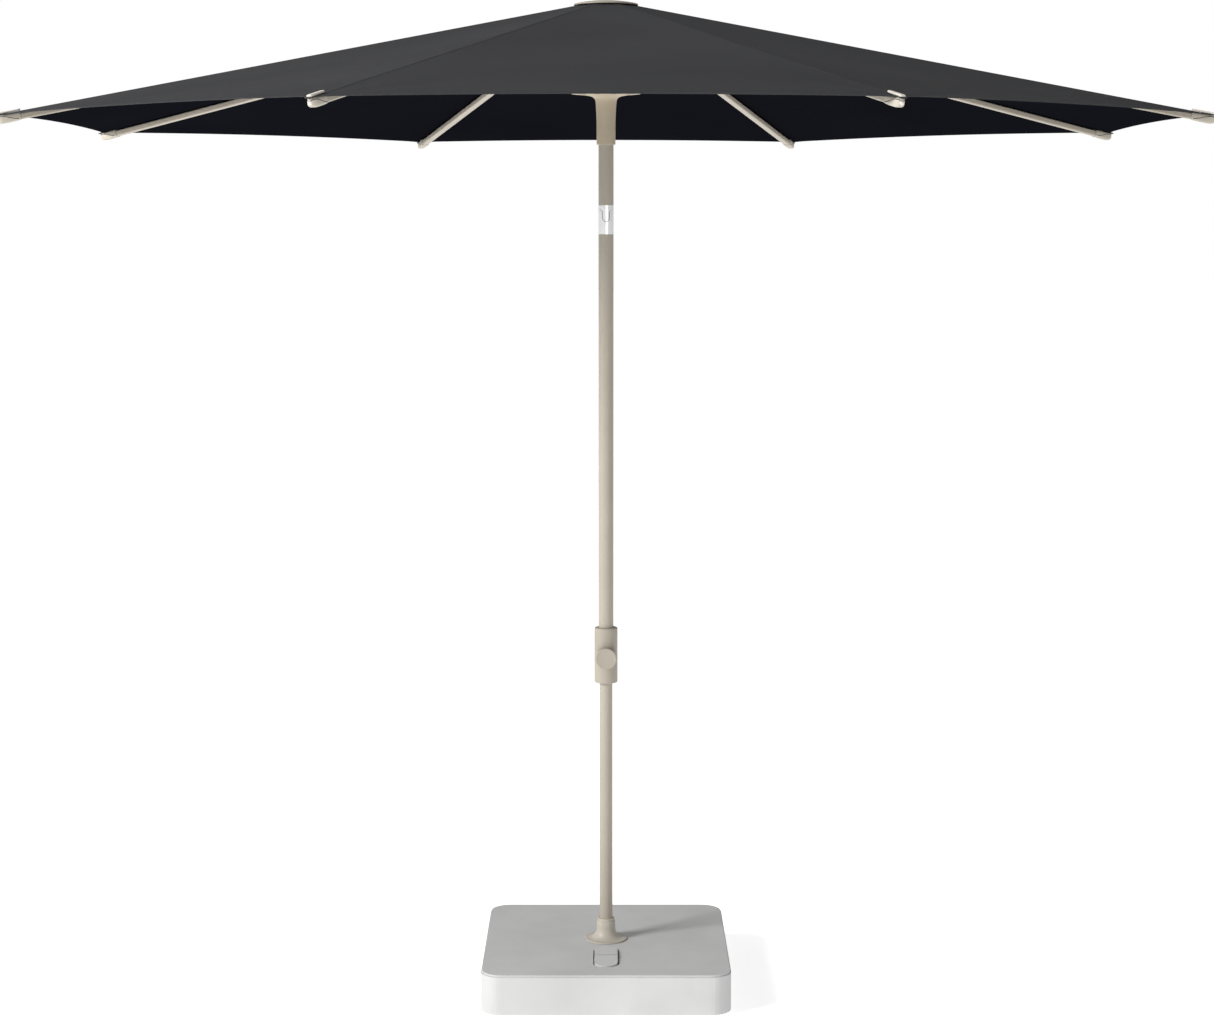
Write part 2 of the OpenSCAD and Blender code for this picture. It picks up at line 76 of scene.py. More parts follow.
# Tape on the hem and on the seams
HEM_W = 0.022
HEM_RISE = 0.0006
SEAM_W = 0.011
SEAM_RISE = 0.0004
SEAM_START = 0.020

# Rib end caps, with the finger and the webbing tab on them
TIP_LEN = 0.055
TIP_LOW = -0.0086
TIP_HIGH = 0.0110
TIP_PAST_HEM = 0.008
BALL_R = 0.0055
# The dark strip of painted shade along an end cap's parting line: how far it stands out and its half height
LINE_PROUD = 0.0003
LINE_HALF = 0.0008
FINGER_LEN = 0.051
FINGER_HALF_W = 0.0056
FINGER_T = 0.0046
TAB_LEN = 0.020
TAB_HALF_W = 0.0085
TAB_T = 0.0013

# Masts, collar, knob and cap
MAST_R = 0.019
LOWER_MAST_R = 0.0165
COLLAR_R = 0.0295
KNOB_R = 0.0268
CAP_RISE = 0.011

# Outline of the tilt joint's tongue, measured from the pin, and half the width of the dark strip of painted shade
# round it
TONGUE_HALF = 0.009
TONGUE_END = 0.006
SHOULDER_IN = 0.010
SHOULDER_OUT = 0.0183
JOINT_LINE = 0.0006

# Light
SKY_LIGHT = 0.62
FLOOR_GLOW = 0.60
KEY_POWER = 470
FRONT_POWER = 45

# Camera: focal length in millimetres, height, distance and downward pitch
LENS = 71.5848
CAMERA_Y = -6.110
CAMERA_Z = 1.947
CAMERA_PITCH = math.radians(3.20)


# ---------- mesh helpers ----------

def new_piece(name, vertices, faces):
    """A mesh object from points and faces, with its normals turned outwards."""
    mesh = bpy.data.meshes.new(name)
    mesh.from_pydata([tuple(v) for v in vertices], [], faces)
    mesh.validate()
    work = bmesh.new()
    work.from_mesh(mesh)
    bmesh.ops.recalc_face_normals(work, faces=work.faces)
    work.to_mesh(mesh)
    work.free()
    for polygon in mesh.polygons:
        polygon.use_smooth = True
    piece = bpy.data.objects.new(name, mesh)
    bpy.context.scene.collection.objects.link(piece)
    return piece


def apply_modifier(piece, kind, **settings):
    """Adds one modifier and applies it to the mesh."""
    modifier = piece.modifiers.new(kind.lower(), kind)
    for key, value in settings.items():
        setattr(modifier, key, value)
    graph = bpy.context.evaluated_depsgraph_get()
    mesh = bpy.data.meshes.new_from_object(piece.evaluated_get(graph))
    piece.modifiers.clear()
    piece.data = mesh
    return piece


def crisp(piece, angle=35):
    """Smooth shading that keeps edges sharper than the angle."""
    piece.data.set_sharp_from_angle(angle=math.radians(angle))
    return piece


def lathe(name, profile, place=Matrix.Identity(4), segments=96):
    """A closed ring surface from (radius, height) points, turned about its own Z and then placed."""
    vertices, faces = [], []
    rows = len(profile)
    for i in range(segments):
        a = 2 * math.pi * i / segments
        vertices += [place @ Vector((r * math.cos(a), r * math.sin(a), z)) for r, z in profile]
    for i in range(segments):
        j = (i + 1) % segments
        for row in range(rows):
            nxt = (row + 1) % rows
            faces.append((i * rows + row, j * rows + row, j * rows + nxt, i * rows + nxt))
    return merged(new_piece(name, vertices, faces))


def merged(piece, distance=1e-6):
    """Joins points that lie on each other, such as a lathe's points on its axis."""
    work = bmesh.new()
    work.from_mesh(piece.data)
    bmesh.ops.remove_doubles(work, verts=work.verts, dist=distance)
    bmesh.ops.dissolve_degenerate(work, edges=work.edges, dist=distance)
    bmesh.ops.recalc_face_normals(work, faces=work.faces)
    work.to_mesh(piece.data)
    work.free()
    for polygon in piece.data.polygons:
        polygon.use_smooth = True
    return piece


def arc(centre, radius, start, end, count=6):
    """Points of a round stretch in a profile, with its angles in degrees."""
    angles = [math.radians(start + (end - start) * i / count) for i in range(count + 1)]
    return [(centre[0] + radius * math.cos(a), centre[1] + radius * math.sin(a)) for a in angles]


def loft(name, rings):
    """A closed skin over rings of equal point counts, capped at both ends."""
    count = len(rings[0])
    vertices = [p for ring in rings for p in ring]
    faces = []
    for row in range(len(rings) - 1):
        for i in range(count):
            j = (i + 1) % count
            faces.append((row * count + i, row * count + j, (row + 1) * count + j, (row + 1) * count + i))
    faces.append(tuple(range(count)))
    faces.append(tuple(range((len(rings) - 1) * count, len(rings) * count)))
    return new_piece(name, vertices, faces)


def rounded_outline(half_x, half_y, radius, steps=8):
    """A rounded rectangle's outline, counter-clockwise."""
    points = []
    for sx, sy, start in ((1, 1, 0), (-1, 1, 90), (-1, -1, 180), (1, -1, 270)):
        centre = (sx * (half_x - radius), sy * (half_y - radius))
        points += arc(centre, radius, start, start + 90, steps)
    return points


def joined(name, pieces):
    """One object from several."""
    for piece in bpy.context.selected_objects:
        piece.select_set(False)
    for piece in pieces:
        piece.select_set(True)
    bpy.context.view_layer.objects.active = pieces[0]
    bpy.ops.object.join()
    pieces[0].name = name
    pieces[0].select_set(False)
    return pieces[0]


# ---------- materials ----------

def new_material(name, colour, roughness, metallic=0.0, **sockets):
    """A principled material, with constants set on the shader's own sockets."""
    material = bpy.data.materials.new(name)
    material.use_nodes = True
    shader = material.node_tree.nodes["Principled BSDF"]
    shader.inputs["Base Color"].default_value = (*colour, 1)
    shader.inputs["Roughness"].default_value = roughness
    shader.inputs["Metallic"].default_value = metallic
    for key, value in sockets.items():
        shader.inputs[key.replace("_", " ")].default_value = value
    return material, material.node_tree, shader


def add_node(tree, kind, **values):
    """A node whose settings and inputs are given by name."""
    node = tree.nodes.new(kind)
    for key, value in values.items():
        if key in node.inputs:
            node.inputs[key].default_value = value
        else:
            setattr(node, key, value)
    return node


def noise(tree, scale, detail=4.0, stretch=(1, 1, 1)):
    """Noise in the object's own metres."""
    coordinate = add_node(tree, "ShaderNodeTexCoord")
    mapping = add_node(tree, "ShaderNodeMapping")
    mapping.inputs["Scale"].default_value = stretch
    texture = add_node(tree, "ShaderNodeTexNoise", Scale=scale, Detail=detail)
    tree.links.new(coordinate.outputs["Object"], mapping.inputs["Vector"])
    tree.links.new(mapping.outputs["Vector"], texture.inputs["Vector"])
    return texture.outputs["Fac"]


def vary_colour(tree, shader, fac, dark, light, low=0.3, high=0.7):
    """Base colour between two tones."""
    ramp = add_node(tree, "ShaderNodeValToRGB")
    ramp.color_ramp.elements[0].position = low
    ramp.color_ramp.elements[0].color = (*dark, 1)
    ramp.color_ramp.elements[1].position = high
    ramp.color_ramp.elements[1].color = (*light, 1)
    tree.links.new(fac, ramp.inputs["Fac"])
    tree.links.new(ramp.outputs["Color"], shader.inputs["Base Color"])


def vary_roughness(tree, shader, fac, low, high):
    """Roughness between two values."""
    spread = add_node(tree, "ShaderNodeMapRange")
    spread.inputs["To Min"].default_value = low
    spread.inputs["To Max"].default_value = high
    tree.links.new(fac, spread.inputs["Value"])
    tree.links.new(spread.outputs["Result"], shader.inputs["Roughness"])


def bump(tree, shader, fac, strength, distance):
    """Small relief from a texture."""
    node = add_node(tree, "ShaderNodeBump", Strength=strength, Distance=distance)
    tree.links.new(fac, node.inputs["Height"])
    tree.links.new(node.outputs["Normal"], shader.inputs["Normal"])


def painted(name, colour, roughness=0.42):
    """Powder coat: a fine orange-peel texture and a slightly uneven gloss."""
    material, tree, shader = new_material(name, colour, roughness, Specular_IOR_Level=0.45)
    tone = noise(tree, 5.0)
    vary_colour(tree, shader, tone, [c * 0.95 for c in colour], [c * 1.04 for c in colour])
    vary_roughness(tree, shader, noise(tree, 60.0), roughness - 0.06, roughness + 0.08)
    bump(tree, shader, noise(tree, 1400.0, 2.0), 0.12, 0.0004)
    return material


def moulded(name, colour, roughness=0.5):
    """Moulded plastic with a fine spark-eroded grain."""
    material, tree, shader = new_material(name, colour, roughness, Specular_IOR_Level=0.4)
    tone = noise(tree, 14.0)
    vary_colour(tree, shader, tone, [c * 0.96 for c in colour], [c * 1.04 for c in colour])
    vary_roughness(tree, shader, noise(tree, 90.0), roughness - 0.05, roughness + 0.08)
    bump(tree, shader, noise(tree, 2200.0, 3.0), 0.15, 0.0003)
    return material


def woven(name, colour, gloss=0.06):
    """A plain weave: warp and weft threads from the cloth's own coordinates."""
    material, tree, shader = new_material(name, colour, 0.9, Specular_IOR_Level=gloss)
    coordinate = add_node(tree, "ShaderNodeUVMap", uv_map="cloth")
    threads = []
    for axis in ("X", "Y"):
        wave = add_node(tree, "ShaderNodeTexWave", bands_direction=axis, wave_profile="SIN", Scale=210.0)
        wave.inputs["Distortion"].default_value = 0.6
        wave.inputs["Detail"].default_value = 1.0
        wave.inputs["Detail Scale"].default_value = 3.0
        tree.links.new(coordinate.outputs["UV"], wave.inputs["Vector"])
        threads.append(wave.outputs["Fac"])
    weave = add_node(tree, "ShaderNodeMath", operation="MAXIMUM")
    tree.links.new(threads[0], weave.inputs[0])
    tree.links.new(threads[1], weave.inputs[1])
    cloudy = noise(tree, 2.2, 5.0)
    slub = noise(tree, 160.0, 2.0)
    mixed = add_node(tree, "ShaderNodeMath", operation="MULTIPLY_ADD")
    mixed.inputs[1].default_value = 0.35
    tree.links.new(slub, mixed.inputs[0])
    tree.links.new(cloudy, mixed.inputs[2])
    dark, light = [c * 0.88 for c in colour], [c * 1.12 for c in colour]
    vary_colour(tree, shader, mixed.outputs["Value"], dark, light, 0.4, 0.95)
    bump(tree, shader, weave.outputs["Value"], 0.35, 0.0003)
    return material


def stitched(name, colour):
    """The hem tape and seams: the weave with rows of thread."""
    material, tree, shader = new_material(name, colour, 0.85, Specular_IOR_Level=0.08)
    coordinate = add_node(tree, "ShaderNodeUVMap", uv_map="cloth")
    wave = add_node(tree, "ShaderNodeTexWave", bands_direction="X", wave_profile="SAW", Scale=36.0)
    tree.links.new(coordinate.outputs["UV"], wave.inputs["Vector"])
    vary_colour(tree, shader, noise(tree, 8.0), [c * 0.85 for c in colour], [c * 1.1 for c in colour])
    bump(tree, shader, wave.outputs["Fac"], 0.3, 0.0005)
    return material


def bare_metal(name, colour, roughness, grain):
    """Machined metal with fine turning marks round the mast."""
    material, tree, shader = new_material(name, colour, roughness, 1.0)
    marks = noise(tree, 30.0, 3.0, grain)
    vary_roughness(tree, shader, marks, roughness - 0.04, roughness + 0.06)
    vary_colour(tree, shader, noise(tree, 40.0), [c * 0.97 for c in colour], colour)
    bump(tree, shader, marks, 0.01, 0.0001)
    return material


def cast_concrete(name, colour):
    """Fine cast concrete: faint clouds, sand grain and a few pores."""
    material, tree, shader = new_material(name, colour, 0.85, Specular_IOR_Level=0.3)
    clouds = noise(tree, 6.0, 8.0)
    vary_colour(tree, shader, clouds, [c * 0.93 for c in colour], [c * 1.04 for c in colour])
    vary_roughness(tree, shader, noise(tree, 50.0), 0.75, 0.95)
    bump(tree, shader, noise(tree, 500.0, 6.0), 0.25, 0.0008)
    return material


SAND = (0.390, 0.352, 0.288)
mast_paint = painted("mast_paint", SAND)
rib_paint = painted("rib_paint", (0.42, 0.375, 0.305), 0.38)
sand_plastic = moulded("sand_plastic", (0.375, 0.340, 0.279))
runner_plastic = moulded("runner_plastic", (0.430, 0.365, 0.270), 0.55)
tip_plastic = moulded("tip_plastic", (0.47, 0.43, 0.36))
finger_plastic = moulded("finger_plastic", (0.70, 0.66, 0.59), 0.45)
nylon = moulded("nylon", (0.035, 0.035, 0.036), 0.6)
pale_plastic = moulded("pale_plastic", (0.60, 0.60, 0.595), 0.5)
flange_paint = painted("flange_paint", (0.50, 0.46, 0.39), 0.4)
fabric_top = woven("fabric_top", (0.048, 0.0484, 0.0508))
# The canopy's underside: the same cloth in a much darker copy, painted shade
fabric_under_shaded = woven("fabric_under_shaded", (0.0056, 0.0059, 0.0082), gloss=0.0)
hem_tape = stitched("hem_tape", (0.0435, 0.0440, 0.0465))
aluminium = bare_metal("aluminium", (0.95, 0.955, 0.96), 0.28, (1, 1, 60))
steel = bare_metal("steel", (0.62, 0.63, 0.65), 0.38, (4, 4, 4))
concrete = cast_concrete("concrete", (0.58, 0.58, 0.575))
# Near-black for thin strips laid over gaps and ridge lines: painted shade
groove_shade_paint = moulded("groove_shade_paint", (0.02, 0.02, 0.02), 0.8)
rubber = moulded("rubber", (0.03, 0.03, 0.03), 0.8)

CAD_FINISH = {
    "mast_paint": mast_paint,
    "rib_paint": rib_paint,
    "sand_plastic": sand_plastic,
    "tip_plastic": tip_plastic,
    "nylon": nylon,
    "pedal_plastic": pale_plastic,
    "flange_paint": flange_paint,
    "canopy_fabric": fabric_top,
    "bare_aluminium": aluminium,
    "steel": steel,
    "concrete": concrete,
    "rubber": rubber,
}


def finish_cad_nodes():
    """Gives every CAD node the material of its slot in the record, except the runner, which gets its own plastic.
    """
    for row in frame["record"]["subparts"]:
        node = frame["nodes"][row["node"]]
        material = CAD_FINISH[row["material_slot"]]
        if row["node"] == "runner":
            material = runner_plastic
        node.data.materials.clear()
        node.data.materials.append(material)


# ---------- ribs' own frames ----------

class Rib:
    """One rib's place: its own axes when open, and the planes that its fabric folds to."""

    def __init__(self, number):
        joint = next(j for j in frame["joints"] if j["name"] == f"rib_fold_{number}")
        self.number = number
        self.body = joint["child"]
        self.joint = joint["name"]
        self.across = -Vector(joint["axis"])
        self.pivot = Vector(joint["pos_m"])
        self.azimuth = math.atan2(self.pivot.y, self.pivot.x)
        self.out = Vector((math.cos(self.azimuth), math.sin(self.azimuth), 0))
        self.fold = math.radians(-joint["range_deg"][0])
        self.along = self.out * math.cos(RIB_SLOPE) - Vector((0, 0, math.sin(RIB_SLOPE)))
        self.up = self.along.cross(self.across) * -1
        if self.up.z < 0:
            self.up = -self.up

    def at(self, x, y, z):
        """A point given along, across and above the rib."""
        return self.pivot + self.along * x + self.across * y + self.up * z

    def matrix(self):
        """The rib's axes as a matrix."""
        m = Matrix((self.along, self.across, self.up)).transposed().to_4x4()
        m.translation = self.pivot
        return m

    def fold_plane(self, side):
        """A point and the normal of the plane midway to the next folded rib, as it lies when open."""
        angle = self.azimuth + side * HALF_GORE
        normal = Vector((-math.sin(angle), math.cos(angle), 0)) * side
        on_axis = Vector((0, 0, self.pivot.z))
        back = Matrix.Rotation(-self.fold, 3, self.across)
        return self.pivot + back @ (on_axis - self.pivot), back @ normal

    def cloth(self, s, v):
        """The fabric: s runs along the rib and v across, 0 on the rib and 1 on the gore's mid-line."""
        r = PIVOT_R + s * math.cos(RIB_SLOPE) + FABRIC_LIFT * math.sin(RIB_SLOPE)
        z = self.pivot.z - s * math.sin(RIB_SLOPE) + FABRIC_LIFT * math.cos(RIB_SLOPE)
        w = abs(v)
        deep = min(1.0, max(s, 0) / RIB_LEN)
        sag = (GORE_SAG * math.sin(math.pi * deep) - HEM_ARCH * deep ** 4) * (1 - (1 - min(w, 1)) ** 2)
        corner = math.hypot(RIB_LEN - s, w * r * math.sin(HALF_GORE))
        fan = math.atan2(w * r * math.sin(HALF_GORE), max(RIB_LEN - s, 1e-4))
        crease = CREASE * math.exp(-corner / 0.16) * math.sin(11 * fan) * min(1, corner / 0.05)
        mid = r * math.cos(HALF_GORE)
        x = r + (mid * math.cos(HALF_GORE) - r) * w
        y = math.copysign(mid * math.sin(HALF_GORE) * w, v)
        return self.out * x + self.across * y + Vector((0, 0, z - sag - crease))

    def fold_line(self, s, side):
        """The v at which the fabric crosses the fold plane."""
        point, normal = self.fold_plane(side)
        start = (self.cloth(s, 0) - point).dot(normal)
        span = (self.cloth(s, side) - self.cloth(s, 0)).dot(normal)
        return -start / span


def hem_s(w):
    """Where the hem is along the rib, at w across from the rib to the gore's mid-line."""
    inward = HEM_CURVE * (1 - (1 - min(abs(w), 1)) ** 2)
    return RIB_LEN - inward / (math.cos(RIB_SLOPE) * math.cos(HALF_GORE))


ribs = [Rib(k) for k in range(1, RIBS + 1)]


# ---------- canopy ----------

def cloth_piece(name, patches):
    """A piece of canopy cloth from patches of points: the cloth itself, its hem and its seam tape."""
    vertices, faces, slots, coordinates = [], [], [], []
    for grid, where, finish in patches:
        first, columns = len(vertices), len(grid[0])
        vertices += [tuple(p) for row in grid for p in row]
        coordinates += [c for row in where for c in row]
        for i in range(len(grid) - 1):
            for j in range(columns - 1):
                corner = first + i * columns + j
                faces.append((corner, corner + columns, corner + columns + 1, corner + 1))
                slots.append(finish)
    mesh = bpy.data.meshes.new(name)
    mesh.from_pydata(vertices, [], faces)
    uv = mesh.uv_layers.new(name="cloth")
    for loop in mesh.loops:
        uv.data[loop.index].uv = coordinates[loop.vertex_index]
    for polygon, slot in zip(mesh.polygons, slots):
        polygon.material_index = slot
        polygon.use_smooth = True
    if mesh.polygons[len(mesh.polygons) // 2].normal.z < 0:
        mesh.flip_normals()
    # Slot 2, which the solidify below gives to the underside, is the darker copy of the fabric: painted shade
    for material in (fabric_top, hem_tape, fabric_under_shaded):
        mesh.materials.append(material)
    piece = bpy.data.objects.new(name, mesh)
    bpy.context.scene.collection.objects.link(piece)
    apply_modifier(piece, "SOLIDIFY", thickness=FABRIC_T, offset=-1.0, material_offset=2)
    return crisp(piece)


def raised(grid, height):
    """The same points a little higher."""
    return [[p + Vector((0, 0, height)) for p in row] for row in grid]


def cloth_patch(rib, edges, start, rows, columns, hem_only=False):
    """Points and weave coordinates between two edges across the rib, from a start to the hem."""
    grid, coordinates = [], []
    for i in range(rows + 1):
        row, where = [], []
        for j in range(columns + 1):
            s = start
            for _ in range(4):
                near, far = edges(s)
                v = near + (far - near) * j / columns
                first = hem_s(v) - HEM_W if hem_only else start
                s = first + (hem_s(v) - first) * i / rows
            near, far = edges(s)
            v = near + (far - near) * j / columns
            row.append(rib.cloth(s, v))
            where.append((s, v * (PIVOT_R + s) * math.tan(HALF_GORE)))
        grid.append(row)
        coordinates.append(where)
    return grid, coordinates


def cloth_patches(rib, edges, start, rows, columns):
    """A cloth and the hem tape on its outer edge."""
    grid, where = cloth_patch(rib, edges, start, rows, columns)
    hem, hem_where = cloth_patch(rib, edges, start, 3, columns, hem_only=True)
    return [(grid, where, 0), (raised(hem, HEM_RISE), hem_where, 1)]


def seam_edges(s):
    """The seam tape's two edges along a rib."""
    half = SEAM_W / 2 / ((PIVOT_R + max(s, 0.0)) * math.tan(HALF_GORE))
    return -half, half


def gore_start(rib, side):
    """Where the fold line reaches the gore's mid-line."""
    low, high = 0.0, 0.1
    for _ in range(40):
        middle = (low + high) / 2
        if rib.fold_line(middle, side) > 1:
            low = middle
        else:
            high = middle
    return high


def make_canopy(rib):
    """One rib's share of the canopy: the strip on the rib and a half gore on each side."""
    def strip_edges(s):
        return -rib.fold_line(s, -1), rib.fold_line(s, 1)

    patches = cloth_patches(rib, strip_edges, TOP_START, 90, 14)
    seam, seam_where = cloth_patch(rib, seam_edges, SEAM_START, 90, 2)
    strip = cloth_piece(f"canopy_strip_{rib.number}", patches + [(raised(seam, SEAM_RISE), seam_where, 1)])
    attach(strip, rib.body)
    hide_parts(f"canopy_panel_{rib.number}")
    for side, word in ((1, "left"), (-1, "right")):
        def gore_edges(s, side=side):
            return side * rib.fold_line(s, side), side

        patches = cloth_patches(rib, gore_edges, gore_start(rib, side), 90, 36)
        gore = cloth_piece(f"canopy_gore_{word}_{rib.number}", patches)
        point, normal = rib.fold_plane(side)
        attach(gore, rib.body)
        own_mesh(gore)


def make_crown_cloth():
    """The round of cloth that the cap holds down on the hub."""
    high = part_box("canopy_crown")[1]
    rings = [CROWN_CLOTH_R * i / 10 for i in range(1, 11)]
    profile = [(r, high.z + 0.0012 - 0.004 * (r / CROWN_CLOTH_R) ** 3) for r in rings]
    under = [(r, z - FABRIC_T) for r, z in reversed(profile)]
    cloth = lathe("crown_cloth", profile + under, segments=96)
    cloth.data.materials.append(fabric_top)
    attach(cloth, "crown")
    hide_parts("canopy_crown")


# ---------- end caps on the ribs ----------

def tip_section(rib, x, half_w, low, high, count=20):
    """A rounded cross-section of an end cap."""
    radius = min(half_w, (high - low) / 2) * 0.6
    middle, half_h = (high + low) / 2, (high - low) / 2
    outline = rounded_outline(half_w, half_h, radius, count // 4)
    return [rib.at(x, y, middle + z) for y, z in outline]


def tip_parting(t):
    """Height of the curved line between an end cap's two halves, from its inner end to its nose."""
    rise = 0.5 - 0.5 * math.cos(math.pi * min(1, t * 1.15))
    return TIP_LOW + (TIP_HIGH - TIP_LOW) * (0.18 + 0.62 * rise)


def make_tip(rib):
    """An end cap: a keel-shaped body with a dark strip of painted shade along its parting line, a ball in its nose
    and a finger on the hem.
    """
    start, end = RIB_LEN - TIP_LEN + TIP_PAST_HEM, RIB_LEN + TIP_PAST_HEM
    steps = 22
    body_rings, line_rings = [], []
    for i in range(steps + 1):
        t = i / steps
        x = start + (end - start) * t
        nose = math.sqrt(max(0.0, 1 - max(0.0, (t - 0.72) / 0.28) ** 2.2))
        half_w = (0.0122 - 0.003 * t) * max(nose, 0.12)
        low = TIP_LOW - 0.0014 * math.sin(math.pi * t) + 0.010 * (1 - nose)
        high = TIP_HIGH - 0.004 * (1 - nose)
        part = min(max(tip_parting(t), low + 0.0030), high - 0.0030)
        body_rings.append(tip_section(rib, x, half_w, low, high))
        line_rings.append(tip_section(rib, x, half_w + LINE_PROUD, part - LINE_HALF, part + LINE_HALF))
    body = loft(f"tip_body_{rib.number}", body_rings)
    body.data.materials.append(tip_plastic)
    # The parting line as a strip of black nylon: painted shade
    line = loft(f"tip_parting_shade_{rib.number}", line_rings[2:])
    line.data.materials.append(nylon)
    ball = lathe(
        f"tip_ball_{rib.number}", arc((0, 0), BALL_R, -90, 90, 16),
        rib.matrix() @ Matrix.Translation((end - 0.0045, 0, TIP_LOW + 0.0095)), 32,
    )
    ball.data.materials.append(finger_plastic)
    for piece in (body, line, ball):
        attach(piece, rib.body)
    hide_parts(f"rib_tip_{rib.number}")
    make_finger(rib)
    make_hem_tab(rib)


def bent_strip(name, rib, path, half_w, thickness, round_end):
    """A strip of constant thickness along a path of (along, above) points, rounded at its first end."""
    rings = []
    for i, (x, z) in enumerate(path):
        ahead = path[min(i + 1, len(path) - 1)]
        behind = path[max(i - 1, 0)]
        slope = math.atan2(ahead[1] - behind[1], ahead[0] - behind[0])
        run = x - path[0][0]
        width = half_w
        if run < round_end:
            width = half_w * math.sqrt(max(0.02, 1 - (1 - run / round_end) ** 2))
        ring = []
        for y, h in rounded_outline(width, thickness / 2, thickness * 0.42, 3):
            ring.append(rib.at(x - h * math.sin(slope), y, z + h * math.cos(slope)))
        rings.append(ring)
    return loft(name, rings)


def tip_path(start, lift, reach, turn):
    """Points that run out along the fabric and turn down over the nose."""
    run = RIB_LEN + reach - turn - start
    flat = [(start + run * (i / 14) ** 1.6, FABRIC_LIFT + lift) for i in range(15)]
    centre = (RIB_LEN + reach - turn, FABRIC_LIFT + lift - turn)
    bend = [(centre[0] + turn * math.sin(a), centre[1] + turn * math.cos(a))
            for a in (math.radians(12 * i) for i in range(1, 8))]
    return flat + bend


def make_finger(rib):
    """The pale finger that holds the hem down on the end cap."""
    path = tip_path(RIB_LEN - FINGER_LEN, 0.0032, 0.0060, 0.0020)
    finger = bent_strip(f"tip_finger_{rib.number}", rib, path, FINGER_HALF_W, FINGER_T, FINGER_HALF_W)
    finger.data.materials.append(finger_plastic)
    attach(finger, rib.body)


def make_hem_tab(rib):
    """The webbing at a rib's end, which turns down between the finger and the body."""
    path = tip_path(RIB_LEN - TAB_LEN, 0.0002, 0.0095, 0.0015)
    tab = bent_strip(f"hem_tab_{rib.number}", rib, path, TAB_HALF_W, TAB_T, 0.001)
    tab.data.materials.append(nylon)
    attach(tab, rib.body)


# ---------- masts, collar, knob, cap ----------

def make_cap():
    """The shallow dome on the crown, with a rolled rim."""
    low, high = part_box("top_cap")
    radius = (high.x - low.x) / 2
    rim_z = high.z - CAP_RISE
    dome = [(radius * 0.985 * math.sin(a), rim_z + 0.0022 + (CAP_RISE - 0.0022) * (1 - math.sin(a) ** 2))
            for a in (math.radians(90 * i / 24) for i in range(25))]
    rim = arc((radius - 0.0022, rim_z), 0.0022, 80, -90, 8)
    inner = [(radius - 0.004, rim_z - 0.001), (radius * 0.8, rim_z + 0.0005), (0.0, rim_z + 0.004)]
    cap = lathe("crown_cap", dome + rim + inner, segments=128)
    cap.data.materials.append(sand_plastic)
    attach(cap, "crown")
    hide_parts("top_cap")


def facing_front(height):
    """Places a lathe so that its axis points to the front at a height."""
    return Matrix.Translation((0, 0, height)) @ Matrix.Rotation(math.radians(90), 4, "X")


def make_collar():
    """The height collar: a sleeve with soft edges, and a boss that flares out of it towards the knob."""
    low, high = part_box("height_collar")
    r, edge, bore = COLLAR_R, 0.003, MAST_R + 0.0002
    outside = arc((r - edge, low.z + edge), edge, -90, 0) + arc((r - edge, high.z - edge), edge, 0, 90)
    top = [(bore + 0.0020, high.z), (bore + 0.0012, high.z - 0.0012), (bore, high.z - 0.0030)]
    inner = [(bore, high.z - 0.020), (LOWER_MAST_R + 0.0035, high.z - 0.021)]
    foot = [(LOWER_MAST_R + 0.0035, low.z + 0.0010), (LOWER_MAST_R + 0.0050, low.z)]
    sleeve = lathe("collar_sleeve", outside + top + inner + foot, segments=128)
    knob_low, knob_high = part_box("clamp_knob")
    middle = (knob_low.z + knob_high.z) / 2
    rings = []
    for depth, half_x, half_z in (
        (-0.0200, 0.0262, 0.0400), (-0.0270, 0.0261, 0.0372), (-0.0292, 0.0260, 0.0350),
        (-0.0302, 0.0259, 0.0325), (-0.0318, 0.0257, 0.0303), (-0.0340, 0.0255, 0.0284),
        (-0.0370, 0.0252, 0.0268), (-0.0400, 0.0249, 0.0256), (-0.0420, 0.0246, 0.0249),
        (-0.0424, 0.0240, 0.0243),
    ):
        angles = [2 * math.pi * i / 96 for i in range(96)]
        rings.append([Vector((half_x * math.cos(a), depth, middle + half_z * math.sin(a))) for a in angles])
    boss = loft("collar_boss", rings)
    collar = joined("height_collar_shell", [sleeve, boss])
    crisp(collar, 40)
    collar.data.materials.append(sand_plastic)
    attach(collar, "upper_mast")
    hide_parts("height_collar")


def make_knob():
    """The round clamp knob with a softened edge and a plain dished face."""
    low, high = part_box("clamp_knob")
    middle, back, front = (low.z + high.z) / 2, -high.y, -low.y
    edge = 0.0020
    side = [(0.0, back), (KNOB_R - 0.0022, back)] + arc((KNOB_R - 0.0018, back + 0.0018), 0.0018, -80, 0, 5)
    side += arc((KNOB_R - edge, front - edge), edge, 0, 90, 8)
    dish = KNOB_R - edge - 0.0030
    face = [(dish + 0.0010, front), (dish, front - 0.0002), (dish - 0.0010, front - 0.0004)]
    face += [(dish * (1 - i / 6), front - 0.0004 - 0.0003 * i / 6) for i in range(1, 7)]
    knob = lathe("clamp_knob_shell", side + face, facing_front(middle), 128)
    crisp(knob, 50)
    knob.data.materials.append(sand_plastic)
    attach(knob, "knob")
    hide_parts("clamp_knob")


